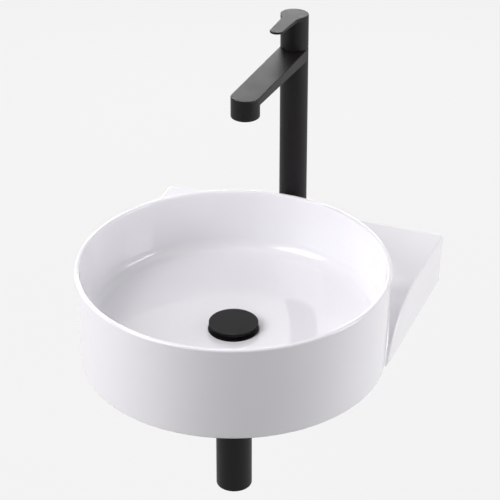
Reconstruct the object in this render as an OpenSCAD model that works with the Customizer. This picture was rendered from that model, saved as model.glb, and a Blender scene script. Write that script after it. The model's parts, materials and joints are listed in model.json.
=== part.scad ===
// Wall-hung washbasin with a round bowl, a single-lever pillar tap, a
// push-button waste and a bottle trap.
// Millimetres. X runs along the wall to the right, Y runs into the wall, Z is up.
// The origin is midway between the two wall fixings, on the wall's face.

/* [Basin] */
// Outer diameter of the rim, which is also the overall width
basin_w = 400; // [380:1:430]
// Distance from the wall to the back of the rim
drum_gap = 68; // [66:1:80]
// Height from the base to the rim
basin_h = 130; // [124:1:150]
// How much smaller the radius is at the base than at the rim
base_inset = 5; // [2:0.5:10]
// Thickness of the upright lip of the bowl
lip_t = 6; // [5.5:0.5:10]
// Radius of the rounded edges of the lip
lip_edge_r = 2.5; // [1:0.5:2.5]
// Height from the shelf up to the rim
shelf_drop = 60; // [50:1:64]
// Length of the flat shelf, measured from the wall
shelf_flat = 128; // [110:1:140]
// Radius of the shelf's rolled front
roll_r = 110; // [90:1:130]
// Thickness of the shelf
shelf_t = 12; // [9:0.5:16]
// Thickness of the side skirts under the shelf
skirt_t = 12; // [9:0.5:16]
// Thickness of the back wall
back_t = 12; // [9:0.5:16]

/* [Bowl] */
// Depth from the rim to the floor at the waste
bowl_depth = 93; // [88:1:97]
// Depth of the upright part of the bowl wall
bowl_wall_depth = 66; // [55:1:68]
// How much the bowl narrows on each side down to that depth
bowl_draft = 3.5; // [2:0.5:6]
// Radius of the corner between the bowl wall and its floor
bowl_corner_r = 18; // [12:1:20]
// Thickness of the bowl floor
floor_t = 11; // [9:0.5:13]
// Thickness of the drum's skirt below the bowl
drum_skirt_t = 9; // [7:0.5:12]
// Radius of the thick pad around the waste hole
pad_r = 45; // [40:1:60]
// Thickness of that pad under the waste flange
pad_t = 11.6; // [9:0.2:14]

/* [Wall fixings] */
// Distance between the two fixings
fix_spacing = 280; // [240:5:300]
// Depth of the fixings below the shelf
fix_drop = 34; // [30:1:40]
// Bore of a bush, which takes a wall stud
bush_bore = 12; // [8:0.5:14]
// Outer diameter of a bush's sleeve
bush_d = 24; // [20:1:28]
// Diameter of a bush's flange
bush_flange_d = 34; // [32:1:38]
// Thickness of a bush's flange
bush_flange_t = 4; // [2:0.5:5]

/* [Waste] */
// Diameter of the waste hole in the bowl
waste_hole_d = 46; // [44:0.5:48]
// Outer diameter of the waste's threaded tube
waste_d = 42; // [40:0.5:42.5]
// Wall of the waste's tube
waste_wall = 4; // [2.5:0.5:5]
// Length of the waste below the top of its flange
waste_len = 66.6; // [60:0.2:80]
// Diameter of the waste's flange
flange_d = 63.5; // [60:0.5:66]
// Thickness of the flange
flange_t = 3; // [2:0.5:4]
// Thickness of the gasket under the flange
flange_gasket_t = 1.5; // [1:0.5:2.5]
// Diameter of the cap
cap_d = 63.5; // [58:0.5:66]
// Thickness of the cap
cap_t = 5; // [3.5:0.5:6]
// Travel of the cap between open and shut
cap_travel = 4; // [3:0.5:5]
// Thickness of the seal under the cap
cap_seal_t = 1; // [0.5:0.1:1.5]
// Thickness of the rubber ring under the bowl
under_gasket_t = 3; // [2:0.5:4]
// Height of the ring nut under the bowl
waste_nut_h = 9; // [7:0.5:10]
// Width of that nut across its corners
waste_nut_d = 58; // [54:1:64]
// Depth of the cross bars below the flange
spider_drop = 10; // [8:0.5:14]
// Height of the cross bars
spider_h = 9; // [6:0.5:12]
// Outer diameter of the push mechanism's barrel
barrel_d = 12; // [11:0.5:14]
// Diameter of the cap's plunger
plunger_d = 6; // [5:0.5:7]

/* [Trap] */
// Outer diameter of the trap's body, cup and top nut
trap_d = 47; // [46:0.5:56]
// Wall of the trap's body and cup
trap_wall = 2.5; // [2:0.25:3]
// Outer diameter of the drain tubes
pipe_d = 32; // [28:1:32]
// Wall of the drain tubes
pipe_wall = 1.5; // [1:0.25:2]
// Height of the nut under the waste
top_nut_h = 22; // [20:1:28]
// Length of tube that shows between that nut and the trap
tail_show = 22; // [10:1:60]
// Height of the trap's body
trap_body_h = 52; // [50:1:62]
// Height of the trap's cup
cup_h = 90; // [80:1:120]
// Length of the cup's thread
cup_thread = 12; // [10:1:14]
// Depth of the outlet's axis below the top of the trap's body
outlet_drop = 31; // [30:1:33]
// Length of outlet pipe inside the wall
pipe_in_wall = 40; // [20:1:80]
// Diameter of the wall plate on the outlet pipe
rosette_d = 70; // [60:1:80]
// Depth of that plate
rosette_h = 8; // [6:1:14]
// Outer diameter of the dip tube
dip_d = 28; // [24:0.5:28]
// Height of the dip tube's end above the cup's base
dip_clear = 45; // [35:1:60]

/* [Tap body] */
// Distance from the wall to the tap's axis
tap_from_wall = 46; // [44:1:48]
// Diameter of the tap's column and handle
column_d = 36.5; // [36:0.5:40]
// Height of the column above the shelf
column_h = 265.5; // [240:1:300]
// Distance from the column's axis to the outlet's axis
spout_reach = 179; // [160:1:200]
// Upward slope of the spout's top, in degrees
spout_rise = 4; // [2:0.5:5]
// Depth of the spout where it leaves the column
spout_root = 15.5; // [15:0.5:18]
// Upward slope of the spout's underside, in degrees
spout_under = 5.8; // [5:0.1:6]
// Depth of the outlet's end below the top of the column
outlet_tip_drop = 15.5; // [14:0.5:22]
// Bore of the water way in the spout
way_d = 7; // [5:0.5:7]
// Bore of the two inlet threads
inlet_d = 9; // [8:0.2:9.4]
// Length of the two inlet threads
inlet_len = 12; // [10:1:16]
// Distance of each inlet from the column's middle plane
inlet_x = 6.5; // [6:0.1:6.8]
// Diameter of the ring under the column
base_ring_d = 44; // [40:0.5:44]
// Height of that ring
base_ring_h = 3; // [2:0.5:5]
// Thickness of the seal under that ring
base_seal_t = 1; // [1:0.5:2]
// Diameter of the tap hole in the shelf
tap_hole_d = 35; // [33:0.5:36]
// Diameter of the fixing stud
stud_d = 8; // [6:0.5:8]
// Outer diameter of the two horseshoe washers
horseshoe_d = 43; // [40:0.5:43]
// Thickness of each horseshoe washer
horseshoe_t = 3; // [2:0.5:4]
// Length of the fixing nut
stud_nut_h = 10; // [8:1:14]
// Diameter of the aerator's threaded ring
aerator_d = 24; // [22:0.5:26]
// Length of the aerator's ring
aerator_h = 11; // [9:0.5:11.5]

/* [Handle and cartridge] */
// Height of the handle on the tap's axis
handle_h = 46; // [44:0.2:56]
// Gap between the column and the handle
handle_gap = 0.5; // [0.4:0.1:1]
// Wall of the handle
handle_wall = 2; // [1.5:0.1:2.1]
// Thickness of the handle's roof
handle_roof = 6; // [5:0.5:8]
// Upward slope of the handle's top and blade, in degrees
blade_rise = 4.5; // [3:0.5:7]
// Reach of the blade from the tap's axis
blade_reach = 76; // [60:1:90]
// Radius of the blade's tip
blade_tip_r = 8.8; // [7:0.1:10]
// Width of the blade where it leaves the handle
blade_root_w = 21.5; // [18:0.5:26]
// Thickness of the blade at its tip
blade_t = 3; // [2:0.25:4]
// How far the handle tips up, in degrees
lift_max = 20; // [15:1:20]
// Height of the tipping axis above the column
pivot_up = 5.5; // [5:0.1:6]
// Radius of the domed nut
dome_r = 15.3; // [15:0.1:15.6]
// Wall of the domed nut
dome_wall = 2; // [1.6:0.1:2]
// Diameter of the cartridge's housing
cartridge_d = 25.4; // [24.6:0.2:26]
// Depth of the cartridge's chamber below the column's top
cartridge_drop = 22.5; // [22.5:0.5:26]
// Width of the square stem from side to side
stem_w = 6; // [5:0.1:6.2]
// Width of the square stem from front to back
stem_l = 7; // [6:0.1:7]
// Diameter of the pin that the stem tips on
pin_d = 3; // [2.5:0.1:3]
// Diameter of the grub screw
grub_d = 5; // [4:0.5:5]

/* [Hidden] */
$fn = 96;

// Gap that lets one piece slide into another
slip = 0.2;
// Gap between the plug-like seals and the parts around them
seal_gap = 0.1;
// Extra length that makes a cut run past a face
past = 1;

// Heights of the basin
shelf_z = fix_drop;
rim_z = shelf_z + shelf_drop;
base_z = rim_z - basin_h;
drum_r = basin_w / 2;
base_r = drum_r - base_inset;
axis_y = -drum_gap - drum_r;
under_shelf_z = shelf_z - shelf_t;

// Heights of the bowl
floor_z = rim_z - bowl_depth;
lip_in_r = drum_r - lip_t;
wall_foot_z = rim_z - bowl_wall_depth;
wall_foot_r = lip_in_r - bowl_draft;
corner_x = wall_foot_r - bowl_corner_r;
skirt_in_r = base_r - drum_skirt_t;
// Turn of the bowl's corner, in degrees
corner_turn = 86;
// Radii where the bowl's floor is parted from its wall and from the pad of the waste hole
parting_r = skirt_in_r - 2;
pad_parting_r = pad_r + 3;
recess_r = flange_d / 2 + 0.75;
flange_top_z = floor_z - 0.4;
seat_z = flange_top_z - flange_t - flange_gasket_t;
pad_z = seat_z - pad_t;

// Heights of the waste, its nut and its cap
under_nut_z = pad_z - under_gasket_t - waste_nut_h;
waste_end_z = flange_top_z - waste_len;
waste_bore = waste_d - 2 * waste_wall;
cap_rest_gap = 0.4;
cap_lip = 3;
seat_w = 4;
cap_under_z = flange_top_z + cap_rest_gap + cap_seal_t + cap_travel;
spider_top_z = flange_top_z - spider_drop;
collar_t = 3;
boss_h = 3;
barrel_len = 22;
barrel_end_z = spider_top_z - barrel_len;
barrel_bore = barrel_d - 3;
foot_t = 2.5;
foot_z = spider_top_z - 0.3 - foot_t;
plunger_grip = 3;
barrel_floor = 2;
spider_bar = 3;

// Heights of the trap
seal_t = 2;
tail_seal_drop = 6;
tail_seal_h = 3;
tail_seal_w = 2;
tail_collar_t = 3;
nut_lip_t = 3;
tail_top_z = waste_end_z - seal_t;
top_nut_z = tail_top_z - tail_collar_t - nut_lip_t;
trap_top_z = top_nut_z - tail_show;
socket_depth = 13;
partition_t = 3;
dip_flange_t = 2;
trap_foot_z = trap_top_z - trap_body_h;
cup_seal_t = 1.5;
cup_top_z = trap_foot_z - cup_seal_t;
cup_z = cup_top_z - cup_h;
cup_base_t = 3;
cup_edge_r = 2;
trap_bore = trap_d - 2 * trap_wall;
outlet_z = trap_top_z - outlet_drop;
socket_out = 48;
socket_stop = 28;
outlet_nut_back = 14;
outlet_lip = 4;
outlet_seal_t = 1.8;
outlet_nut_d = pipe_d + 12;
outlet_socket_d = pipe_d + 6;
paint_t = 0.2;
spigot_d = pipe_d - 2 * paint_t;

// Heights of the tap
tap_y = -tap_from_wall;
column_r = column_d / 2;
ring_z = shelf_z + base_seal_t;
hose_way_d = tap_hole_d - 4;
column_z = ring_z + base_ring_h;
joint_z = shelf_z + column_h;
pivot_z = joint_z + pivot_up;
outlet_tip_z = joint_z - outlet_tip_drop;
pocket_z = joint_z - cartridge_drop;
pocket_d = cartridge_d + 3;
nut_thread = 5;
nut_seat_z = joint_z - nut_thread;
flange_seat_z = nut_seat_z - 1.5;
nut_d = 2 * dome_r - 0.6;
way_drop = 10.2;
way_z = joint_z - way_drop;
way_rise = (spout_rise + spout_under) / 2 + 0.5;
riser_d = inlet_d + 0.6;
spout_joint = column_r + 2;
air_room = 7;
air_step = 5;
inlet_y = -2;
stud_y = 9.5;
stud_in = 12;
steel_z = under_shelf_z - 2 * horseshoe_t;
stud_nut_z = steel_z - stud_nut_h;
stud_z = stud_nut_z - 8;
aerator_z = outlet_tip_z;
aerator_pocket = aerator_h + 2.5;
aerator_wall = 1.5;
insert_up = 2;

// Heights of the handle and the cartridge
handle_z = joint_z + handle_gap;
handle_top_z = handle_z + handle_h;
cavity_r = column_r - handle_wall;
roof_z = handle_top_z - handle_roof;
hub_up = 9;
hub_z = pivot_z + hub_up;
hub_r = 7;
stem_up = 26;
stem_top_z = pivot_z + stem_up;
stem_fit = 0.1;
gasket_t = 1;
housing_z = pocket_z + gasket_t;
disc_z = housing_z + 3;
disc_t = 3;
disc_gap = 0.1;
feed_d = 4.4;
arm = 10;
ball_r = 2.8;
moving_disc_r = 6.5;
mover_top_z = pivot_z - arm + 2;
chamber_r = cartridge_d / 2 - 2;
neck_r = chamber_r + 1.1;
neck_bore_r = chamber_r - 0.3;
neck_top_z = pivot_z + 2;
carrier_r = neck_bore_r - slip;
carrier_z = mover_top_z + 1;
carrier_top_z = pivot_z + 5;
grub_up = 17;
grub_z = pivot_z + grub_up;
plug_d = grub_d + 0.8;

module at_bowl(z = 0) { translate([0, axis_y, z]) children(); }
module at_tap(z = 0) { translate([0, tap_y, z]) children(); }

// A tube or ring that stands on height z
module ring(outer_d, inner_d, h) {
    difference() {
        cylinder(d = outer_d, h = h);
        translate([0, 0, -past]) cylinder(d = inner_d, h = h + 2 * past);
    }
}

// A solid that runs along X, with its outline drawn as [y, z] points
module along_x(width, points) {
    rotate([90, 0, 90]) linear_extrude(width, center = true) polygon(points);
}

// Points of an arc about [cx, cz], from angle a to angle b
function arc(cx, cz, r, a, b, steps = 10) =
    [for (i = [0:steps]) let (t = a + (b - a) * i / steps) [cx + r * cos(t), cz + r * sin(t)]];

// The drum, a little narrower at its base, with a rounded outer edge at the rim
module drum() {
    points = concat(
        [[0, base_z], [base_r, base_z]],
        arc(drum_r - lip_edge_r, rim_z - lip_edge_r, lip_edge_r, 0, 90),
        [[0, rim_z]]);
    at_bowl() rotate_extrude($fn = 180) polygon(points);
}

// The space inside the bowl, from above the rim down to the floor
module bowl_space() {
    points = concat(
        [[0, rim_z + past], [lip_in_r + lip_edge_r, rim_z + past]],
        arc(lip_in_r + lip_edge_r, rim_z - lip_edge_r, lip_edge_r, 90, 180),
        arc(corner_x, wall_foot_z, bowl_corner_r, 0, -corner_turn),
        [[flange_d / 2, floor_z], [0, floor_z]]);
    at_bowl() rotate_extrude($fn = 180) polygon(points);
}

// The hollow under the bowl, around the pad of the waste hole
module under_bowl_space() {
    corner_low_z = wall_foot_z - bowl_corner_r - floor_t;
    points = [
        [0, base_z - past],
        [skirt_in_r, base_z - past],
        [skirt_in_r + 2, corner_low_z - 3],
        [corner_x, corner_low_z],
        [pad_r, floor_z - floor_t],
        [pad_r, pad_z],
        [0, pad_z]];
    at_bowl() rotate_extrude($fn = 180) polygon(points);
}

// The block behind the bowl, its front rolled over, or the hollow in it when
// wall, roof and back are the thicknesses to leave
module shelf_block(wall = 0, roof = 0, back = 0, low = 0) {
    roll_y = -shelf_flat;
    roll_z = shelf_z - roll_r;
    top_z = shelf_z - roof;
    low_z = base_z - low;
    half_top = drum_r - wall;
    half_low = base_r - wall;
    intersection() {
        union() {
            translate([-drum_r, roll_y, low_z]) cube([basin_w, shelf_flat - back, top_z - low_z]);
            translate([-drum_r, roll_y, roll_z])
                rotate([0, 90, 0]) cylinder(r = roll_r - roof, h = basin_w, $fn = 180);
        }
        translate([0, -back, 0]) rotate([90, 0, 0])
            linear_extrude(-axis_y - back)
            polygon([[-half_low, low_z], [half_low, low_z], [half_top, rim_z], [-half_top, rim_z]]);
    }
}

// The drum hollowed out to the bowl, with its waste hole. The basin is one casting.
// It is parted into six pieces here, so that each is a simple form.
module bowl() {
    difference() {
        drum();
        bowl_space();
        under_bowl_space();
        at_bowl(seat_z) cylinder(r = recess_r, h = bowl_depth);
        at_bowl(pad_z - past) cylinder(d = waste_hole_d, h = bowl_depth);
    }
}

// The block behind the bowl, hollow below, with its tap hole and fixing holes
module block() {
    difference() {
        shelf_block();
        drum();
        shelf_block(wall = skirt_t, roof = shelf_t, back = back_t, low = past);
        at_tap(base_z) cylinder(d = tap_hole_d, h = basin_h);
        for (side = [-1, 1])
            translate([side * fix_spacing / 2, past, 0])
                rotate([90, 0, 0]) cylinder(d = bush_d + slip, h = back_t + 2 * past);
    }
}

// A box over the whole block between two depths from the wall and two heights
module slab(near, depth, low, high) {
    translate([-basin_w, -near - depth, low]) cube([2 * basin_w, depth, high - low]);
}

// A core on the bowl's axis that is taller than the drum
module core(r) { at_bowl(base_z - past) cylinder(r = r, h = basin_h + 2 * past, $fn = 180); }

module bowl_wall() {
    color("white") difference() {
        bowl();
        core(parting_r);
    }
}

module bowl_floor() {
    color("white") intersection() {
        bowl();
        difference() {
            core(parting_r);
            core(pad_parting_r);
        }
    }
}

module waste_pad() {
    color("white") intersection() {
        bowl();
        core(pad_parting_r);
    }
}

module shelf() {
    color("white") intersection() {
        block();
        slab(-past, basin_w, under_shelf_z, rim_z);
    }
}

// The two sides of the block, each with its part of the rolled front
module shelf_wings() {
    color("white") intersection() {
        block();
        slab(back_t, basin_w, base_z - past, under_shelf_z);
    }
}

module back_wall() {
    color("white") intersection() {
        block();
        slab(-past, back_t + past, base_z - past, under_shelf_z);
    }
}

module wall_bushes() {
    color("gray") for (side = [-1, 1])
        translate([side * fix_spacing / 2, 0, 0]) rotate([90, 0, 0]) difference() {
            union() {
                cylinder(d = bush_d, h = back_t);
                translate([0, 0, back_t]) cylinder(d = bush_flange_d, h = bush_flange_t);
            }
            translate([0, 0, -past]) cylinder(d = bush_bore, h = back_t + bush_flange_t + 2 * past);
        }
}

// The cap, with the boss under it that grips the plunger
module waste_cap() {
    edge = 0.4;
    points = concat(
        [[0, -boss_h], [plunger_d, -boss_h], [plunger_d, 0], [cap_d / 2, 0]],
        arc(cap_d / 2 - edge, cap_t - edge, edge, 0, 90, 6),
        [[0, cap_t]]);
    color("dimgray") at_bowl(cap_under_z) difference() {
        rotate_extrude($fn = 120) polygon(points);
        translate([0, 0, -boss_h - past]) cylinder(d = plunger_d, h = boss_h + plunger_grip + past);
    }
}

module cap_seal() {
    color("black") at_bowl(cap_under_z - cap_seal_t)
        ring(cap_d - 2 * cap_lip, waste_bore + 2 * seat_w, cap_seal_t);
}

module plunger() {
    top_z = cap_under_z + plunger_grip;
    color("silver") at_bowl() {
        translate([0, 0, foot_z]) cylinder(d = plunger_d, h = top_z - foot_z);
        translate([0, 0, foot_z]) cylinder(d = barrel_bore - 3 * slip, h = foot_t);
    }
}

// The coil that lifts the plunger, six turns of wire
module plunger_spring() {
    wire_r = 0.5;
    turns = 6;
    sides = 6;
    steps = 10;
    low = barrel_end_z + barrel_floor + wire_r + seal_gap;
    high = foot_z - wire_r - seal_gap;
    coil_r = barrel_bore / 2 - wire_r - 2 * slip;
    rings = turns * steps;
    points = [for (i = [0:rings]) let (t = i / rings, a = 360 * turns * t)
        for (k = [0:sides - 1]) let (b = 360 * k / sides, r = coil_r + wire_r * cos(b))
            [r * cos(a), r * sin(a), low + (high - low) * t + wire_r * sin(b)]];
    skin = [for (i = [0:rings - 1]) for (k = [0:sides - 1]) let (n = (k + 1) % sides)
        for (f = [[i * sides + k, (i + 1) * sides + k, i * sides + n],
                  [i * sides + n, (i + 1) * sides + k, (i + 1) * sides + n]]) f];
    first = [[for (k = [0:sides - 1]) k]];
    last = [[for (k = [0:sides - 1]) rings * sides + sides - 1 - k]];
    color("silver") at_bowl() polyhedron(points, concat(skin, first, last));
}

// The barrel that guides the plunger, with a collar on the cross bars
module push_barrel() {
    color("lightgray") at_bowl() difference() {
        union() {
            translate([0, 0, barrel_end_z]) cylinder(d = barrel_d, h = barrel_len + past);
            translate([0, 0, spider_top_z]) cylinder(d = barrel_d + 5, h = collar_t);
        }
        translate([0, 0, barrel_end_z + barrel_floor])
            cylinder(d = barrel_bore, h = barrel_len - barrel_floor);
        translate([0, 0, spider_top_z - past]) cylinder(d = plunger_d + 2 * slip, h = collar_t + 2 * past);
    }
}

// The flanged tube through the bowl, with cross bars that hold the barrel
module waste_body() {
    bars_z = spider_top_z - spider_h;
    dish = 2;
    color("dimgray") at_bowl() difference() {
        union() {
            translate([0, 0, flange_top_z - flange_t]) cylinder(d = flange_d, h = flange_t);
            difference() {
                translate([0, 0, waste_end_z]) cylinder(d = waste_d, h = waste_len - flange_t + past);
                translate([0, 0, waste_end_z - past]) cylinder(d = waste_bore, h = waste_len);
            }
            translate([0, 0, bars_z]) cylinder(d = barrel_d + 2 * spider_bar, h = spider_h);
            for (a = [0, 90])
                rotate([0, 0, a]) translate([-waste_bore / 2 - past, -spider_bar / 2, bars_z])
                    cube([waste_bore + 2 * past, spider_bar, spider_h]);
        }
        translate([0, 0, spider_top_z]) cylinder(d = waste_bore, h = waste_len);
        translate([0, 0, waste_end_z]) cylinder(d = barrel_d, h = waste_len);
        translate([0, 0, flange_top_z - dish])
            cylinder(d1 = waste_bore, d2 = waste_bore + 2 * seat_w + dish, h = dish + 0.01);
    }
}

module flange_gasket() {
    color("black") at_bowl(seat_z) ring(flange_d - flange_t, waste_hole_d, flange_gasket_t);
}

module under_gasket() {
    color("black") at_bowl(pad_z - under_gasket_t)
        ring(waste_nut_d + 4, waste_d + 2 * slip, under_gasket_t);
}

module waste_nut() {
    color("silver") at_bowl(under_nut_z) difference() {
        cylinder(d = waste_nut_d, h = waste_nut_h, $fn = 8);
        translate([0, 0, -past]) cylinder(d = waste_d, h = waste_nut_h + 2 * past);
    }
}

// The round nut that joins the drain tube to the waste
module top_nut() {
    color("dimgray") at_bowl(top_nut_z) difference() {
        cylinder(d = trap_d, h = top_nut_h);
        translate([0, 0, nut_lip_t]) cylinder(d = waste_d, h = top_nut_h);
        translate([0, 0, -past]) cylinder(d = pipe_d + 2 * slip, h = top_nut_h);
    }
}

module top_seal() {
    color("black") at_bowl(tail_top_z) ring(waste_d - 2 * seal_gap, waste_bore - 2, seal_t);
}

module tail_tube() {
    collar_z = tail_top_z - tail_collar_t;
    end_z = trap_top_z - socket_depth + dip_flange_t + 0.3;
    color("dimgray") at_bowl() difference() {
        union() {
            translate([0, 0, end_z]) cylinder(d = pipe_d, h = tail_top_z - end_z);
            translate([0, 0, collar_z]) cylinder(d = waste_d - 2 * seal_gap, h = tail_collar_t);
        }
        translate([0, 0, end_z - past])
            cylinder(d = pipe_d - 2 * pipe_wall, h = tail_top_z - end_z + 2 * past);
    }
}

module tail_seal() {
    color("black") at_bowl(trap_top_z - tail_seal_drop)
        ring(pipe_d + 2 * tail_seal_w, pipe_d, tail_seal_h);
}

// The trap's body: a socket for the tube, a partition for the dip tube, a
// chamber, a side socket for the outlet and a threaded neck for the cup
module trap_body() {
    shoulder_z = trap_top_z - socket_depth;
    chamber_z = shoulder_z - partition_t;
    neck_d = trap_bore - 2 * slip - 0.1;
    step_h = 3;
    color("dimgray") at_bowl() difference() {
        union() {
            translate([0, 0, trap_foot_z]) cylinder(d = trap_d, h = trap_body_h);
            translate([0, 0, trap_foot_z - cup_thread]) cylinder(d = neck_d, h = cup_thread + past);
            translate([0, 0, outlet_z])
                rotate([-90, 0, 0]) cylinder(d = outlet_socket_d, h = socket_out);
        }
        translate([0, 0, shoulder_z]) cylinder(d = pipe_d + 2 * slip, h = socket_depth + past);
        translate([0, 0, trap_top_z - tail_seal_drop])
            cylinder(d = pipe_d + 2 * tail_seal_w, h = tail_seal_h);
        translate([0, 0, chamber_z - past]) cylinder(d = dip_d + slip, h = partition_t + 2 * past);
        translate([0, 0, trap_foot_z + step_h])
            cylinder(d = trap_bore, h = chamber_z - trap_foot_z - step_h);
        translate([0, 0, trap_foot_z - cup_thread - past])
            cylinder(d = neck_d - 2 * trap_wall, h = cup_thread + step_h + 2 * past);
        translate([0, 0, outlet_z]) rotate([-90, 0, 0]) cylinder(d = dip_d, h = socket_out + past);
        translate([0, socket_stop, outlet_z])
            rotate([-90, 0, 0]) cylinder(d = pipe_d + 2 * slip, h = socket_out);
    }
}

module dip_tube() {
    top_z = trap_top_z - socket_depth;
    end_z = cup_z + dip_clear;
    color("gray") at_bowl() difference() {
        union() {
            translate([0, 0, end_z]) cylinder(d = dip_d, h = top_z - end_z);
            translate([0, 0, top_z]) cylinder(d = pipe_d, h = dip_flange_t);
        }
        translate([0, 0, end_z - past])
            cylinder(d = dip_d - 2 * pipe_wall, h = top_z - end_z + dip_flange_t + 2 * past);
    }
}

module cup_seal() {
    color("black") at_bowl(cup_top_z) ring(trap_d - 3 * slip, trap_bore, cup_seal_t);
}

module trap_cup() {
    points = concat(
        [[0, cup_z]],
        arc(trap_d / 2 - cup_edge_r, cup_z + cup_edge_r, cup_edge_r, -90, 0, 6),
        [[trap_d / 2, cup_top_z], [trap_bore / 2, cup_top_z], [trap_bore / 2, cup_z + 4 * cup_base_t],
         [trap_bore / 2 - 3 * cup_base_t, cup_z + cup_base_t], [0, cup_z + cup_base_t]]);
    color("dimgray") at_bowl() rotate_extrude() polygon(points);
}

// The pipe into the wall, bare of paint on the length that slides into a drain
module outlet_pipe() {
    start_y = axis_y + socket_stop + 1;
    color("dimgray") translate([0, start_y, outlet_z]) rotate([-90, 0, 0]) difference() {
        union() {
            cylinder(d = pipe_d, h = -start_y);
            translate([0, 0, -start_y]) cylinder(d1 = pipe_d, d2 = spigot_d, h = 1);
            cylinder(d = spigot_d, h = pipe_in_wall - start_y);
        }
        translate([0, 0, -past])
            cylinder(d = pipe_d - 2 * pipe_wall, h = pipe_in_wall - start_y + 2 * past);
    }
}

// The nut that squeezes the seal round the outlet pipe
module outlet_nut() {
    length = outlet_nut_back + outlet_seal_t + outlet_lip;
    color("dimgray") translate([0, axis_y + socket_out - outlet_nut_back, outlet_z])
        rotate([-90, 0, 0]) difference() {
            cylinder(d = outlet_nut_d, h = length);
            translate([0, 0, -past])
                cylinder(d = outlet_socket_d + slip, h = outlet_nut_back + outlet_seal_t + past);
            cylinder(d = pipe_d + 2 * slip, h = length + past);
        }
}

module outlet_seal() {
    color("black") translate([0, axis_y + socket_out, outlet_z])
        rotate([-90, 0, 0]) ring(outlet_socket_d, pipe_d, outlet_seal_t);
}

// The dished plate that hides the hole in the wall
module wall_rosette() {
    hole_r = pipe_d / 2 + slip;
    hub_r = hole_r + 4;
    rim_r = rosette_d / 2;
    sheet = 1.2;
    edge = 2;
    points = [
        [hole_r, rosette_h], [hub_r, rosette_h], [rim_r - edge, edge + 0.5], [rim_r, 0.8], [rim_r, 0],
        [rim_r - sheet, 0], [rim_r - edge - sheet, sheet], [hub_r - sheet, rosette_h - sheet],
        [hole_r, rosette_h - sheet]];
    color("dimgray") translate([0, 0, outlet_z]) rotate([90, 0, 0]) rotate_extrude() polygon(points);
}

// Height of the spout's top and underside at distance d in front of the axis
function spout_top(d) = joint_z + (d - column_r) * tan(spout_rise);
function spout_low(d) = joint_z - spout_root + (d - column_r) * tan(spout_under);

// The flat bar of the spout, from the column's axis to its rounded end
module spout_bar() {
    tip = spout_reach + column_r + past;
    bar_z = outlet_tip_z - column_r;
    bar_h = 3 * column_r;
    intersection() {
        union() {
            translate([-column_r, -spout_reach, bar_z]) cube([column_d, spout_reach, bar_h]);
            translate([0, -spout_reach, bar_z]) cylinder(d = column_d, h = bar_h);
        }
        along_x(column_d + 2 * past, [
            [0, spout_top(0)], [-tip, spout_top(tip)], [-tip, spout_low(tip)], [0, spout_low(0)]]);
    }
}

// The round outlet under the end of the spout
module outlet_drum() {
    tip = spout_reach + column_r + past;
    inset = 2;
    intersection() {
        translate([0, -spout_reach, outlet_tip_z]) cylinder(d = column_d, h = column_d);
        along_x(column_d + 2 * past, [
            [0, spout_top(0) - inset], [-tip, spout_top(tip) - inset], [-tip, outlet_tip_z - inset],
            [0, outlet_tip_z - inset]]);
    }
}

// The water way from the cartridge's pocket to the outlet
module water_way() {
    way_len = spout_reach - pocket_d / 2 + 4;
    translate([0, -pocket_d / 2 + 2, way_z])
        rotate([90 - way_rise, 0, 0]) cylinder(d = way_d, h = way_len);
}

// The space in front of the joint between column and spout
module spout_side() {
    reach = spout_reach + column_d;
    translate([-column_d, -reach, pocket_z]) cube([2 * column_d, reach - spout_joint, 2 * column_d]);
}

// The column, with the short root that the spout is joined to
module tap_column() {
    color("dimgray") at_tap() difference() {
        union() {
            translate([0, 0, column_z]) cylinder(d = column_d, h = joint_z - column_z);
            difference() {
                spout_bar();
                spout_side();
            }
        }
        translate([0, 0, pocket_z]) cylinder(d = pocket_d, h = cartridge_drop + past);
        translate([0, 0, flange_seat_z]) cylinder(d = nut_d + 2 * slip, h = cartridge_drop);
        water_way();
        for (side = [-1, 1]) translate([side * inlet_x, inlet_y, 0]) {
            translate([0, 0, column_z - past]) cylinder(d = inlet_d, h = inlet_len + 2 * past);
            translate([0, 0, column_z + inlet_len])
                cylinder(d = riser_d, h = pocket_z - column_z - inlet_len + past);
        }
        translate([0, stud_y, column_z - past]) cylinder(d = stud_d, h = stud_in + past);
    }
}

module spout() {
    color("dimgray") at_tap() difference() {
        intersection() {
            union() {
                spout_bar();
                outlet_drum();
            }
            spout_side();
        }
        water_way();
        translate([0, -spout_reach, aerator_z - past]) {
            cylinder(d = aerator_d, h = aerator_pocket + past);
            cylinder(d = aerator_d - 2 * air_step, h = aerator_pocket + air_room + past);
        }
    }
}

module base_ring() {
    color("dimgray") at_tap(ring_z) ring(base_ring_d, hose_way_d, base_ring_h);
}

module base_seal() {
    color("black") at_tap(shelf_z) ring(base_ring_d - 2, hose_way_d, base_seal_t);
}

module fixing_stud() {
    color("silver") at_tap() translate([0, stud_y, stud_z])
        cylinder(d = stud_d, h = column_z + stud_in - stud_z);
}

// A washer open to the front, so that the two water hoses pass it
module horseshoe() {
    slot_r = tap_hole_d / 2 - 5.5;
    slot_back = stud_y - stud_d / 2 - 2;
    difference() {
        cylinder(d = horseshoe_d, h = horseshoe_t);
        translate([-slot_r, -horseshoe_d, -past])
            cube([2 * slot_r, horseshoe_d + slot_back, horseshoe_t + 2 * past]);
        translate([0, stud_y, -past]) cylinder(d = stud_d + 2 * slip, h = horseshoe_t + 2 * past);
    }
}

module rubber_horseshoe() { color("black") at_tap(under_shelf_z - horseshoe_t) horseshoe(); }
module steel_horseshoe() { color("silver") at_tap(steel_z) horseshoe(); }

module stud_nut() {
    color("goldenrod") at_tap(stud_nut_z) translate([0, stud_y, 0]) difference() {
        cylinder(d = stud_d * 1.8, h = stud_nut_h, $fn = 6);
        translate([0, 0, -past]) cylinder(d = stud_d, h = stud_nut_h + 2 * past, $fn = 48);
    }
}

module at_outlet(z) { at_tap() translate([0, -spout_reach, z]) children(); }

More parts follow.
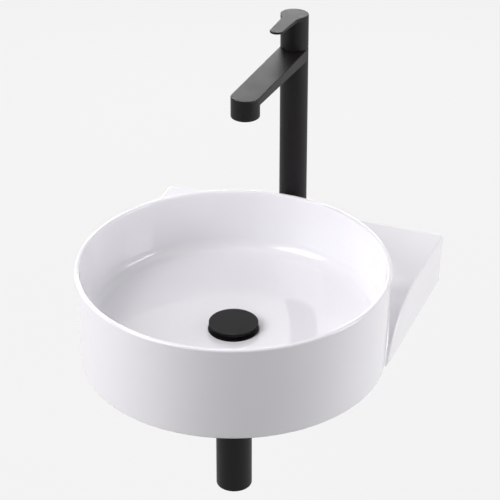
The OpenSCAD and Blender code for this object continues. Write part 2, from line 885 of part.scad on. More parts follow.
module aerator_ring() {
    color("dimgray") at_outlet(aerator_z) difference() {
        cylinder(d = aerator_d, h = aerator_h);
        translate([0, 0, -past]) cylinder(d = aerator_d - 4 * aerator_wall, h = aerator_h);
        translate([0, 0, insert_up]) cylinder(d = aerator_d - 2 * aerator_wall, h = aerator_h);
    }
}

// The drilled insert that mixes air into the water
module aerator_insert() {
    depth = aerator_h - insert_up;
    outer_hole = 2.4;
    inner_hole = 2;
    color("lightgray") at_outlet(aerator_z + insert_up) difference() {
        cylinder(d = aerator_d - 2 * aerator_wall - slip, h = depth);
        for (k = [0:5])
            rotate([0, 0, 60 * k]) translate([aerator_d / 4, 0, -past])
                cylinder(d = outer_hole, h = depth + 2 * past);
        for (k = [0:2])
            rotate([0, 0, 120 * k]) translate([aerator_d / 10, 0, -past])
                cylinder(d = inner_hole, h = depth + 2 * past);
    }
}

module aerator_seal() {
    color("black") at_outlet(aerator_z + aerator_h)
        ring(aerator_d - 2 * slip, aerator_d - 4 * aerator_wall, aerator_wall);
}

// Two holes that feed the cartridge, cold and hot
module feed_holes(z, d, h) {
    for (side = [-1, 1]) translate([side * inlet_x, inlet_y, z]) cylinder(d = d, h = h);
}

module cartridge() {
    color("lightgray") at_tap() difference() {
        union() {
            translate([0, 0, housing_z]) cylinder(d = cartridge_d, h = flange_seat_z - housing_z);
            translate([0, 0, flange_seat_z]) cylinder(d = nut_d, h = nut_seat_z - flange_seat_z);
            translate([0, 0, nut_seat_z]) cylinder(r = neck_r, h = neck_top_z - nut_seat_z);
        }
        translate([0, 0, disc_z]) cylinder(r = chamber_r, h = joint_z + 0.5 - disc_z);
        translate([0, 0, joint_z]) cylinder(r = neck_bore_r, h = neck_top_z - joint_z + past);
        feed_holes(housing_z - past, feed_d, disc_z - housing_z + 2 * past);
        translate([0, 0, way_z]) rotate([90, 0, 0]) cylinder(d = way_d - 2, h = cartridge_d);
    }
}

module cartridge_gasket() {
    color("black") at_tap() difference() {
        translate([0, 0, pocket_z]) cylinder(d = cartridge_d, h = gasket_t);
        feed_holes(pocket_z - past, feed_d + 3 * slip, gasket_t + 2 * past);
    }
}

module fixed_disc() {
    color("white") at_tap() difference() {
        translate([0, 0, disc_z]) cylinder(r = chamber_r - slip, h = disc_t);
        feed_holes(disc_z - past, feed_d, disc_t + 2 * past);
    }
}

// The disc that slides on the fixed one, with a pocket for the stem's ball
module moving_disc() {
    low = disc_z + disc_t + disc_gap;
    pocket = ball_r + slip;
    color("gainsboro") at_tap() difference() {
        translate([0, 0, low]) cylinder(r = moving_disc_r, h = mover_top_z - low);
        translate([-pocket - slip, -pocket, pivot_z - arm - pocket - 0.5])
            cube([2 * (pocket + slip), 2 * pocket, 2 * arm]);
    }
}

// The turning head of the cartridge, slotted for the stem
module carrier() {
    slot_x = stem_w + 0.6;
    slot_y = 16;
    color("whitesmoke") at_tap() difference() {
        translate([0, 0, carrier_z]) cylinder(r = carrier_r, h = carrier_top_z - carrier_z);
        translate([-slot_x / 2, -slot_y / 2, carrier_z - past])
            cube([slot_x, slot_y, carrier_top_z - carrier_z + 2 * past]);
        translate([-column_r, 0, pivot_z]) rotate([0, 90, 0]) cylinder(d = pin_d, h = column_d, $fn = 48);
    }
}

module pivot_pin() {
    length = 2 * carrier_r - 1.4;
    color("silver") at_tap() translate([-length / 2, 0, pivot_z])
        rotate([0, 90, 0]) cylinder(d = pin_d, h = length, $fn = 48);
}

// The stem: a ball below the pin moves the disc, the square end takes the handle
module stem() {
    arm_w = 4;
    shank = 4;
    color("silver") at_tap() difference() {
        union() {
            translate([-stem_w / 2, -stem_l / 2, pivot_z - shank])
                cube([stem_w, stem_l, stem_top_z - pivot_z + shank]);
            translate([-arm_w / 2, -arm_w / 2, pivot_z - arm]) cube([arm_w, arm_w, arm]);
            translate([0, 0, pivot_z - arm]) sphere(r = ball_r, $fn = 48);
        }
        translate([-column_r, 0, pivot_z]) rotate([0, 90, 0])
            cylinder(d = pin_d + stem_fit, h = column_d, $fn = 48);
    }
}

// The nut that holds the cartridge down, domed so that the handle tips round it
module domed_nut() {
    band_top = 7;
    in_r = dome_r - dome_wall;
    color("dimgray") at_tap() difference() {
        union() {
            translate([0, 0, nut_seat_z]) cylinder(d = nut_d, h = nut_thread);
            intersection() {
                translate([0, 0, pivot_z]) sphere(r = dome_r);
                translate([0, 0, joint_z - 0.5]) cylinder(r = dome_r, h = pivot_up + 0.5 + band_top);
            }
        }
        translate([0, 0, nut_seat_z - past]) cylinder(r = neck_r + slip, h = nut_thread + 2 * past);
        intersection() {
            translate([0, 0, pivot_z]) sphere(r = in_r);
            translate([0, 0, joint_z]) cylinder(r = dome_r, h = 2 * dome_r);
        }
    }
}

function handle_top(d) = handle_top_z + d * tan(blade_rise);

// The outline of the handle's blade, wide at its root and round at its tip
module blade_plan() {
    tip_y = -(blade_reach - blade_tip_r);
    translate([0, tip_y]) circle(r = blade_tip_r);
    polygon([
        [-blade_root_w / 2, -column_r / 2], [blade_root_w / 2, -column_r / 2],
        [blade_tip_r, tip_y], [-blade_tip_r, tip_y]]);
}

module handle() {
    tilt = lift_max + 1;
    back = column_r + 2;
    blade_root_t = blade_t + 2.5;
    socket_x = stem_w + 2 * stem_fit;
    socket_y = stem_l + 2 * stem_fit;
    color("dimgray") at_tap() difference() {
        union() {
            difference() {
                union() {
                    translate([0, 0, handle_z]) cylinder(d = column_d, h = handle_h + column_r);
                    intersection() {
                        translate([0, 0, handle_z]) linear_extrude(handle_h + column_r) blade_plan();
                        along_x(column_d, [
                            [-column_r / 2, handle_top(column_r / 2) + column_r],
                            [-blade_reach - 1, handle_top(blade_reach + 1) + column_r],
                            [-blade_reach - 1, handle_top(blade_reach + 1) - blade_t],
                            [-column_r / 2, handle_top(column_r / 2) - blade_root_t]]);
                    }
                }
                translate([0, 0, handle_z - past]) cylinder(r = cavity_r, h = roof_z - handle_z + past);
                along_x(column_d + 2, [
                    [0.5, handle_z - past], [0.5, handle_z],
                    [back, handle_z + (back - 0.5) * tan(tilt)], [back, handle_z - past]]);
                along_x(column_d + 2, [
                    [back, handle_top(-back)],
                    [-blade_reach - back, handle_top(blade_reach + back)],
                    [-blade_reach - back, handle_top_z + 2 * column_d],
                    [back, handle_top_z + 2 * column_d]]);
            }
            translate([0, 0, hub_z]) cylinder(r = hub_r, h = roof_z - hub_z + 1);
        }
        translate([-socket_x / 2, -socket_y / 2, hub_z - past])
            cube([socket_x, socket_y, stem_top_z + 1 - hub_z + past]);
        translate([0, 0, grub_z]) rotate([-90, 0, 0]) cylinder(d = grub_d + 2 * stem_fit, h = cavity_r);
        translate([0, cavity_r - 2, grub_z]) rotate([-90, 0, 0]) cylinder(d = plug_d + slip, h = column_r);
    }
}

module grub_screw() {
    start = stem_l / 2 + 0.05;
    grub_len = 6;
    color("silver") at_tap() translate([0, start, grub_z]) rotate([-90, 0, 0]) difference() {
        cylinder(d = grub_d, h = grub_len);
        translate([0, 0, grub_len / 2]) cylinder(d = grub_d / 2, h = grub_len, $fn = 6);
    }
}

// The plug that closes the way to the grub screw
module screw_plug() {
    color("dimgray") at_tap() intersection() {
        translate([0, cavity_r - 1, grub_z]) rotate([-90, 0, 0]) cylinder(d = plug_d, h = column_r);
        translate([0, 0, grub_z - plug_d]) cylinder(r = column_r - 0.1, h = 2 * plug_d);
    }
}

bowl_wall();
bowl_floor();
waste_pad();
shelf();
shelf_wings();
back_wall();
wall_bushes();
waste_cap();
cap_seal();
plunger();
plunger_spring();
push_barrel();
waste_body();
flange_gasket();
under_gasket();
waste_nut();
top_nut();
top_seal();
tail_tube();
tail_seal();
trap_body();
dip_tube();
cup_seal();
trap_cup();
outlet_pipe();
outlet_nut();
outlet_seal();
wall_rosette();
tap_column();
spout();
base_ring();
base_seal();
fixing_stud();
rubber_horseshoe();
steel_horseshoe();
stud_nut();
aerator_ring();
aerator_insert();
aerator_seal();
cartridge();
cartridge_gasket();
fixed_disc();
moving_disc();
carrier();
pivot_pin();
stem();
domed_nut();
handle();
grub_screw();
screw_plug();
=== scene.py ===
"""Looks of a wall-hung washbasin: a white glazed drum and shelf, a matt black tap, waste and trap.

Shapes are worked out in millimetres and turned into metres when their mesh is made. As in the CAD
frame, X runs along the wall, Y into the wall and Z up. The large sizes are read from the frame, so
that the pieces follow the CAD model. Edge radii and surface detail are named here.
"""
import json
import math

import bmesh
import bpy
import numpy as np
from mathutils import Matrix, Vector


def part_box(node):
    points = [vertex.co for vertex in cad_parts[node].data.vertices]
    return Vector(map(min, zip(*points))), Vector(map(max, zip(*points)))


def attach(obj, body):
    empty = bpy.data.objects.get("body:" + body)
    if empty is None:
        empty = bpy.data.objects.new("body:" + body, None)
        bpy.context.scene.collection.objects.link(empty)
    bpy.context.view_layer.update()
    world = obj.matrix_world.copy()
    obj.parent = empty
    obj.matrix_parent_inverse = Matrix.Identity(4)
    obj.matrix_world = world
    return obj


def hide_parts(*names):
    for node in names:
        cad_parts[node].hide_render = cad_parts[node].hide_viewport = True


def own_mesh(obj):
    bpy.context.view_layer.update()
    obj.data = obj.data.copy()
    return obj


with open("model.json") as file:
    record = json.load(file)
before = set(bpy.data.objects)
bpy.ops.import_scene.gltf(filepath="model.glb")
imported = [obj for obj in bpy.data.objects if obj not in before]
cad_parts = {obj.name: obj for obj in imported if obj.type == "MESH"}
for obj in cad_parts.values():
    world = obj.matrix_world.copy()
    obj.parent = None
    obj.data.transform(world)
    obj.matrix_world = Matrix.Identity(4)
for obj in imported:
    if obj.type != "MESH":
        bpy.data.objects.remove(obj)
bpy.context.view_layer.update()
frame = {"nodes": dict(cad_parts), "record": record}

MM = 0.001
SCENE = bpy.context.scene
SLOT_OF = {part["node"]: part["material_slot"] for part in frame["record"]["subparts"]}


def box_mm(node):
    """Lowest and highest corner of a CAD node, in millimetres."""
    low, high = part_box(node)
    return np.array(low) / MM, np.array(high) / MM


# Sizes read from the frame

DRUM_LOW, DRUM_HIGH = box_mm("bowl_wall")
DRUM_R = DRUM_HIGH[0]
RIM_Z, BASE_Z = DRUM_HIGH[2], DRUM_LOW[2]
AXIS_Y = DRUM_LOW[1] + DRUM_R
UNDER_SHELF_Z, SHELF_Z = box_mm("shelf")[0][2], box_mm("shelf")[1][2]
WALL_T = -box_mm("shelf_wings")[1][1]
FLANGE_Z = box_mm("waste_body")[1][2]
PAD_Z = box_mm("under_gasket")[1][2]
BUSH_FLANGE_R = 17.0
BUSH_X = box_mm("wall_bushes")[1][0] - BUSH_FLANGE_R

COLUMN_LOW, COLUMN_HIGH = box_mm("tap_column")
COLUMN_R = COLUMN_HIGH[0]
TAP_Y = COLUMN_HIGH[1] - COLUMN_R
SPOUT_LOW, SPOUT_HIGH = box_mm("spout")
SPOUT_REACH = TAP_Y - COLUMN_R - SPOUT_LOW[1]
OUTLET_Z = SPOUT_LOW[2]
HANDLE_LOW, HANDLE_HIGH = box_mm("handle")
HANDLE_Z = HANDLE_LOW[2]
BLADE_REACH = TAP_Y - HANDLE_LOW[1]
PLUG_Z = (box_mm("screw_plug")[0][2] + box_mm("screw_plug")[1][2]) / 2
HANDLE_GAP, SOCKET_DEPTH = 0.5, 6.5
JOINT_Z = HANDLE_Z - HANDLE_GAP
POCKET_Z = box_mm("cartridge_gasket")[0][2]
SEAT_Z = JOINT_Z - SOCKET_DEPTH

# Solids as distance functions, in millimetres: negative inside


def both(a, b, r=0.0):
    """Where a and b overlap, with their common edge rounded to radius r."""
    if r == 0:
        return np.maximum(a, b)
    return np.minimum(np.maximum(a, b), -r) + np.hypot(np.maximum(a + r, 0), np.maximum(b + r, 0))


def either(a, b, r=0.0):
    """a and b joined, with a fillet of radius r where they meet."""
    return -both(-a, -b, r)


def cut(a, b, r=0.0):
    """a with b taken out, with the edge of the cut rounded to radius r."""
    return both(a, -b, r)


STRAIGHT = math.radians(89)
SIDE_SHARE = 0.49


def rounded(points, radii, turn_step):
    """Points of a closed outline with rounded corners, and the outward normal at each.

    The outline runs anticlockwise. Each corner has its own radius, and 0 leaves it sharp, as does a
    half angle over STRAIGHT. An arc has a point every turn_step degrees or closer and takes at most
    SIDE_SHARE of the sides beside it.
    """
    points = [np.array(p, float) for p in points]
    out, normals = [], []
    for i, p in enumerate(points):
        to_last, to_next = points[i - 1] - p, points[(i + 1) % len(points)] - p
        last_len, next_len = np.linalg.norm(to_last), np.linalg.norm(to_next)
        u, v = to_last / last_len, to_next / next_len
        first, second = np.array([-u[1], u[0]]), np.array([v[1], -v[0]])
        half = math.acos(np.clip(u @ v, -1, 1)) / 2
        if radii[i] == 0 or half > STRAIGHT:
            out.append(p)
            normals.append((first + second) / np.linalg.norm(first + second))
            continue
        reach = min(radii[i] / math.tan(half), SIDE_SHARE * last_len, SIDE_SHARE * next_len)
        r = reach * math.tan(half)
        middle = p + (u + v) / np.linalg.norm(u + v) * r / math.sin(half)
        side = 1 if v[0] * u[1] > v[1] * u[0] else -1
        turn = math.pi - 2 * half
        count = max(2, math.ceil(math.degrees(turn) / turn_step))
        for k in range(count + 1):
            t = k / count
            n = (math.sin((1 - t) * turn) * first + math.sin(t * turn) * second) / math.sin(turn)
            out.append(middle + side * n * r)
            normals.append(n)
    return np.array(out), np.array(normals)


def outline_distance(points, x, y):
    """Signed distance from the points (x, y) to a closed outline."""
    best = np.full(x.shape, 1e9)
    inside = np.zeros(x.shape, bool)
    for (x0, y0), (x1, y1) in zip(points, np.roll(points, -1, axis=0)):
        dx, dy = x1 - x0, y1 - y0
        t = np.clip(((x - x0) * dx + (y - y0) * dy) / max(dx * dx + dy * dy, 1e-12), 0, 1)
        best = np.minimum(best, (x - x0 - t * dx) ** 2 + (y - y0 - t * dy) ** 2)
        if dy != 0:
            inside ^= ((y0 > y) != (y1 > y)) & (x < x0 + (y - y0) / dy * dx)
    best = np.sqrt(best)
    return np.where(inside, -best, best)


class OutlineTable:
    """Signed distance to an outline with rounded corners, read from a table that is filled once."""

    def __init__(self, points, radii, low, high, step=0.5):
        self.low, self.step = np.array(low, float), step
        self.count = np.ceil((np.array(high, float) - self.low) / step).astype(int) + 1
        axes = [self.low[k] + step * np.arange(self.count[k]) for k in (0, 1)]
        outline = rounded(points, radii, turn_step=5.0)[0]
        self.values = outline_distance(outline, *np.meshgrid(*axes, indexing="ij"))

    def __call__(self, x, y):
        """The distance at (x, y). Points outside the table take the value at its edge."""
        last = self.count - 1.001
        u = np.clip((x - self.low[0]) / self.step, 0, last[0])
        v = np.clip((y - self.low[1]) / self.step, 0, last[1])
        i, j = u.astype(int), v.astype(int)
        u, v = u - i, v - j
        near = self.values[i, j] * (1 - u) + self.values[i + 1, j] * u
        far = self.values[i, j + 1] * (1 - u) + self.values[i + 1, j + 1] * u
        return near * (1 - v) + far * v


def gradient_of(solid, points, reach=0.05):
    """Gradient of a distance function at points."""
    gradient = np.empty_like(points)
    for axis in range(3):
        offset = np.zeros(3)
        offset[axis] = reach
        gradient[:, axis] = (solid(*(points + offset).T) - solid(*(points - offset).T)) / (2 * reach)
    return gradient


def normals_of(solid, points):
    """Outward unit normals of a solid at points."""
    gradient = gradient_of(solid, points)
    return gradient / np.maximum(np.linalg.norm(gradient, axis=1), 1e-9)[:, None]


def settle(solid, points, rounds=4, least_slope=0.2):
    """Moves points onto the surface of a solid, with short steps where its distance hardly changes."""
    for _ in range(rounds):
        gradient = gradient_of(solid, points)
        slope = np.maximum((gradient ** 2).sum(1), least_slope)
        points = points - gradient * (solid(*points.T) / slope)[:, None]
    return points


# Meshes from distance functions

CORNERS = [np.array((i, j, k)) for i in (0, 1) for j in (0, 1) for k in (0, 1)]
CELL_EDGES = [(a, b) for a in CORNERS for b in CORNERS if (b - a).min() == 0 and (b - a).sum() == 1]
MARGIN_CELLS = 2.37


def sample(solid, low, count, step):
    """The distance function on a regular grid, filled slice by slice."""
    values = np.empty(count, np.float32)
    y, z = np.meshgrid(*(low[k] + step * np.arange(count[k]) for k in (1, 2)), indexing="ij")
    for i in range(count[0]):
        values[i] = solid(np.full(y.shape, low[0] + step * i), y, z)
    return values


def surface_net(values, low, step):
    """Vertices and quads of the surface in a grid, with one vertex in each cell that it crosses."""
    inside = values < 0
    counts = [n - 1 for n in values.shape]
    corners_in = sum(inside[tuple(slice(c, n + c) for c, n in zip(corner, counts))].astype(np.uint8)
                     for corner in CORNERS)
    cells = np.argwhere((corners_in > 0) & (corners_in < 8))
    number = np.full(counts, -1, np.int64)
    number[tuple(cells.T)] = np.arange(len(cells))
    total, crossings = np.zeros((len(cells), 3)), np.zeros(len(cells))
    for a, b in CELL_EDGES:
        at_a, at_b = values[tuple((cells + a).T)], values[tuple((cells + b).T)]
        crossed = (at_a < 0) != (at_b < 0)
        t = at_a[crossed] / (at_a[crossed] - at_b[crossed])
        total[crossed] += a + t[:, None] * (b - a)
        crossings[crossed] += 1
    points = (cells + total / crossings[:, None]) * step + low
    quads = []
    for axis in range(3):
        u, v = (axis + 1) % 3, (axis + 2) % 3
        start, end = [slice(1, -1)] * 3, [slice(1, -1)] * 3
        start[axis], end[axis] = slice(0, -1), slice(1, None)
        margin = np.ones(3, int)
        margin[axis] = 0
        edges = np.argwhere(inside[tuple(start)] != inside[tuple(end)]) + margin
        ring = []
        for du, dv in ((-1, -1), (0, -1), (0, 0), (-1, 0)):
            offset = np.zeros(3, int)
            offset[u], offset[v] = du, dv
            ring.append(number[tuple((edges + offset).T)])
        ring = np.stack(ring, 1)
        outward = inside[tuple(edges.T)]
        ring[~outward] = ring[~outward, ::-1]
        quads.append(ring)
    return points, np.concatenate(quads)


def evened(points, quads, solid, rounds=3, pull=0.6):
    """Spaces the vertices more evenly along the surface."""
    starts, ends = quads.ravel(), np.roll(quads, -1, axis=1).ravel()
    size = len(points)
    weight = np.bincount(starts, minlength=size) + np.bincount(ends, minlength=size)
    for _ in range(rounds):
        total = np.stack([np.bincount(starts, points[ends, k], size)
                          + np.bincount(ends, points[starts, k], size) for k in range(3)], 1)
        move = total / weight[:, None] - points
        normals = normals_of(solid, points)
        move -= normals * (move * normals).sum(1)[:, None]
        points = settle(solid, points + pull * move, 1)
    return points


def split_where_curved(points, faces, solid, most_turn):
    """Splits the edges along which the surface turns by more than most_turn degrees."""
    normals = normals_of(solid, points)
    mesh = bpy.data.meshes.new("split")
    mesh.from_pydata(points.tolist(), [], faces)
    work = bmesh.new()
    work.from_mesh(mesh)
    bpy.data.meshes.remove(mesh)
    ends = np.array([[v.index for v in edge.verts] for edge in work.edges])
    least = math.cos(math.radians(most_turn))
    bent = (normals[ends[:, 0]] * normals[ends[:, 1]]).sum(1) < least
    work.edges.ensure_lookup_table()
    chosen = [work.edges[i] for i in np.flatnonzero(bent)]
    bmesh.ops.subdivide_edges(work, edges=chosen, cuts=1, use_grid_fill=True)
    work.verts.index_update()
    points = settle(solid, np.array([v.co[:] for v in work.verts]))
    faces = [[v.index for v in face.verts] for face in work.faces]
    work.free()
    return points, faces


def mesh_object(name, points, faces, normals):
    """A smooth-shaded object from points in millimetres, with a normal at each."""
    mesh = bpy.data.meshes.new(name)
    mesh.from_pydata((points * MM).tolist(), [], faces)
    mesh.polygons.foreach_set("use_smooth", [True] * len(mesh.polygons))
    mesh.normals_split_custom_set_from_vertices(normals.tolist())
    piece = bpy.data.objects.new(name, mesh)
    SCENE.collection.objects.link(piece)
    return piece


def carved(name, solid, low, high, step, splits=2, most_turn=16.0):
    """An object with the surface of a distance function, and more faces where it curves tightly."""
    margin = MARGIN_CELLS * step
    low = np.array(low, float) - margin
    count = np.ceil((np.array(high, float) + margin - low) / step).astype(int) + 1
    points, quads = surface_net(sample(solid, low, count, step), low, step)
    points, faces = settle(solid, evened(points, quads, solid)), quads.tolist()
    for _ in range(splits):
        points, faces = split_where_curved(points, faces, solid, most_turn)
    return mesh_object(name, points, faces, normals_of(solid, points))


def turned(name, points, radii, centre, along_y=False, sides=96):
    """An object turned on a lathe from an outline of [radius, height] points.

    The outline runs anticlockwise. The lathe's axis is upright, or runs into the wall.
    """
    outline, slopes = rounded(points, radii, turn_step=15.0)
    angles = 2 * math.pi * np.arange(sides) / sides
    ring = np.stack([np.cos(angles), np.sin(angles)], 1)
    places, normals, rows = [], [], []
    for (r, z), (nr, nz) in zip(outline, slopes):
        start = len(places)
        if r < 1e-6:
            rows.append([start] * sides)
            places.append((0, 0, z))
            normals.append((0, 0, math.copysign(1, nz)))
            continue
        rows.append(range(start, start + sides))
        places += [(r * x, r * y, z) for x, y in ring]
        normals += [(nr * x, nr * y, nz) for x, y in ring]
    faces = []
    for row, above in zip(rows, rows[1:] + rows[:1]):
        for k in range(sides):
            n = (k + 1) % sides
            face = list(dict.fromkeys((row[k], row[n], above[n], above[k])))
            if len(face) > 2:
                faces.append(face)
    places, normals = np.array(places, float), np.array(normals, float)
    if along_y:
        places, normals = (p[:, [0, 2, 1]] * (1, 1, -1) for p in (places, normals))
    return mesh_object(name, places + np.array(centre, float), faces, normals)


# Materials


class Nodes:
    """Short ways to add nodes to a tree."""

    def __init__(self, tree):
        self.tree = tree

    def add(self, kind, inputs=(), **settings):
        """A node with its settings; inputs gives a socket or a constant for each input."""
        node = self.tree.nodes.new(kind)
        for key, value in settings.items():
            setattr(node, key, value)
        for key, value in dict(inputs).items():
            self.feed(node.inputs[key], value)
        return node

    def feed(self, socket, value):
        """Links the value to the socket if it is a socket itself, or else sets it as a constant."""
        if isinstance(value, bpy.types.NodeSocket):
            self.tree.links.new(value, socket)
        else:
            socket.default_value = value

    def math(self, operation, a, b=0.0):
        """The result of a sum, a product or a comparison of two values."""
        return self.add("ShaderNodeMath", {0: a, 1: b}, operation=operation).outputs[0]


class Shader(Nodes):
    """A node material on the Principled shader."""

    def __init__(self, name):
        self.material = bpy.data.materials.new(name)
        self.material.use_nodes = True
        super().__init__(self.material.node_tree)
        self.surface = self.tree.nodes["Principled BSDF"]
        self.place = self.add("ShaderNodeTexCoord").outputs["Object"]

    def set(self, **values):
        """Feeds inputs of the surface shader, with underscores for the spaces in their names."""
        for key, value in values.items():
            self.feed(self.surface.inputs[key.replace("_", " ")], value)

    def noise(self, scale, detail=2.0, stretch=None):
        """Noise of about scale grains to the metre, and more along an axis with more stretch."""
        place = self.place
        if stretch:
            place = self.add("ShaderNodeMapping", {"Vector": place, "Scale": stretch}).outputs[0]
        inputs = {"Vector": place, "Scale": scale, "Detail": detail}
        return self.add("ShaderNodeTexNoise", inputs).outputs["Fac"]

    def spread(self, fac, low, high, start=0.3, end=0.7):
        """Maps fac, between start and end, onto the numbers low to high."""
        inputs = {"Value": fac, "From Min": start, "From Max": end, "To Min": low, "To Max": high}
        return self.add("ShaderNodeMapRange", inputs).outputs[0]

    def blend(self, fac, first, second, mode="MIX"):
        """A mix of two colours."""
        mix = self.add("ShaderNodeMix", {"Factor": fac}, data_type="RGBA", blend_type=mode)
        for socket, colour in zip(mix.inputs[6:8], (first, second)):
            self.feed(socket, colour if isinstance(colour, bpy.types.NodeSocket) else (*colour, 1.0))
        return mix.outputs[2]

    def relief(self, waves, soft_edge=0.0):
        """Bumps from (height, depth in mm) pairs, over edges softened by a radius in mm."""
        normal = None
        if soft_edge:
            normal = self.add("ShaderNodeBevel", {"Radius": soft_edge * MM}, samples=4).outputs[0]
        for height, depth in waves:
            bump = self.add("ShaderNodeBump", {"Height": height, "Distance": depth * MM})
            if normal:
                self.feed(bump.inputs["Normal"], normal)
            normal = bump.outputs[0]
        self.set(Normal=normal)


GLAZE_TONES = (0.895, 0.895, 0.92), (0.91, 0.91, 0.935)
CLAY_TONES = (0.74, 0.70, 0.63), (0.83, 0.80, 0.74)
CLAY_BORDER, CLAY_RAGGED, CLAY_ROUGHNESS = 0.9, 0.4, 0.75
COAT_TONES = (0.0055, 0.0048, 0.0052), (0.0095, 0.0085, 0.009)
BARE_BRASS, BRASS_FROM_Y = (0.62, 0.46, 0.22), 0.8


def glaze():
    """White glaze over fired clay, which is bare at the wall and on the foot."""
    s = Shader("ceramic")
    place = s.add("ShaderNodeSeparateXYZ", {0: s.place}).outputs
    ragged = s.spread(s.noise(160, 3), -CLAY_RAGGED * MM, CLAY_RAGGED * MM)
    at_wall = s.math("GREATER_THAN", s.math("ADD", place["Y"], ragged), -CLAY_BORDER * MM)
    at_foot = s.math("LESS_THAN", s.math("ADD", place["Z"], ragged), (BASE_Z + CLAY_BORDER) * MM)
    bare = s.math("MAXIMUM", at_wall, at_foot)
    white = s.blend(s.spread(s.noise(9, 3), 0, 1), *GLAZE_TONES)
    clay = s.blend(s.spread(s.noise(420, 4), 0, 1), *CLAY_TONES)
    s.set(Base_Color=s.blend(bare, white, clay), IOR=1.52)
    shine = s.spread(s.noise(60, 3), 0.035, 0.055)
    s.set(Roughness=s.math("MAXIMUM", shine, s.math("MULTIPLY", bare, CLAY_ROUGHNESS)))
    s.relief([(s.noise(14), 0.05), (s.noise(260), 0.004)])
    return s.material


def black_coat():
    """Matt black coating with a fine grain. The drain pipe's end inside the wall is bare brass."""
    s = Shader("black_metal")
    place = s.add("ShaderNodeSeparateXYZ", {0: s.place}).outputs
    bare = s.math("GREATER_THAN", place["Y"], BRASS_FROM_Y * MM)
    grain = s.blend(s.spread(s.noise(1500, 3), 0, 1), *COAT_TONES)
    s.set(Base_Color=s.blend(bare, grain, BARE_BRASS), Metallic=bare)
    s.set(Roughness=s.spread(s.noise(35, 2), 0.45, 0.49), Specular_IOR_Level=0.18)
    s.relief([(s.noise(2600), 0.008), (s.noise(520), 0.004)], soft_edge=0.3)
    return s.material


def machined(name, dark, light, roughness):
    """Bare turned metal with fine marks round it."""
    s = Shader(name)
    s.set(Base_Color=s.blend(s.spread(s.noise(55, 4), 0, 1), dark, light), Metallic=1.0)
    s.set(Roughness=s.spread(s.noise(260, 3), roughness - 0.06, roughness + 0.08))
    s.relief([(s.noise(900, stretch=(1, 1, 7)), 0.008)], soft_edge=0.25)
    return s.material


def moulded(name, dark, light, roughness, grain, depth):
    """Moulded rubber, plastic or pressed ceramic with a fine even grain."""
    s = Shader(name)
    s.set(Base_Color=s.blend(s.spread(s.noise(48, 4), 0, 1), dark, light))
    s.set(Roughness=s.spread(s.noise(180, 3), roughness - 0.06, roughness + 0.06))
    s.relief([(s.noise(grain, 3), depth)], soft_edge=0.2)
    return s.material


MATERIALS = {
    "ceramic": glaze(),
    "black_metal": black_coat(),
    "brass": machined("brass", (0.60, 0.43, 0.19), (0.74, 0.55, 0.27), 0.3),
    "steel": machined("steel", (0.50, 0.50, 0.51), (0.66, 0.66, 0.67), 0.28),
    "rubber": moulded("rubber", (0.018, 0.018, 0.018), (0.034, 0.033, 0.033), 0.72, 1200, 0.02),
    "white_plastic": moulded("white_plastic", (0.74, 0.74, 0.71), (0.82, 0.82, 0.8), 0.42, 900, 0.01),
    "disc_ceramic": moulded("disc_ceramic", (0.82, 0.79, 0.73), (0.9, 0.88, 0.84), 0.16, 1500, 0.004),
}


def install(piece, body, *nodes):
    """Hangs a piece on its body, in place of the CAD nodes that it stands for."""
    slot = SLOT_OF[nodes[0]]
    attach(piece, body)
    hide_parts(*nodes)
    piece.data.materials.append(MATERIALS[slot])


# The basin: a round drum and the shelf block behind it in one casting, its edges soft under glaze

LIP_T, LIP_EDGE, BASE_INSET = 6.0, 2.5, 5.0
FLANGE_SINK = 0.4
FLOOR_Z = FLANGE_Z + FLANGE_SINK
WALL_DEPTH, BOWL_DRAFT, BOWL_CORNER_R, FLOOR_SLOPE = 66.0, 3.5, 18.0, math.radians(3.7)
CORNER_INSET, BOWL_FLARE, SKIRT_FLARE, HOLLOW_DIP = 0.9, 2.0, 2.0, 3.0
FLOOR_T, SKIRT_T, PAD_R = 11.0, 9.0, 45.0
SHELF_FLAT, ROLL_R = 128.0, 110.0
RIDGE_EDGE, BACK_EDGE, FOOT_EDGE, INNER_EDGE = 3.0, 1.5, 2.0, 8.0
DRUM_FILLET, HOLE_EDGE, BUSH_HOLE_EDGE = 3.0, 0.8, 0.6
FLANGE_R, RECESS_R, WASTE_HOLE_R, TAP_HOLE_R, BUSH_HOLE_R = 31.75, 32.5, 23.0, 17.5, 12.1
SEAT_DEPTH = 4.9

# Outlines that cut run past the rim and the base, and all run past the axis, to leave no edge there

PAST_END, PAST_AXIS = 40.0, -30.0
TABLE_PAST_AXIS, TABLE_PAST_END, TABLE_PAST_DRUM = -1.0, 12.0, 70.0


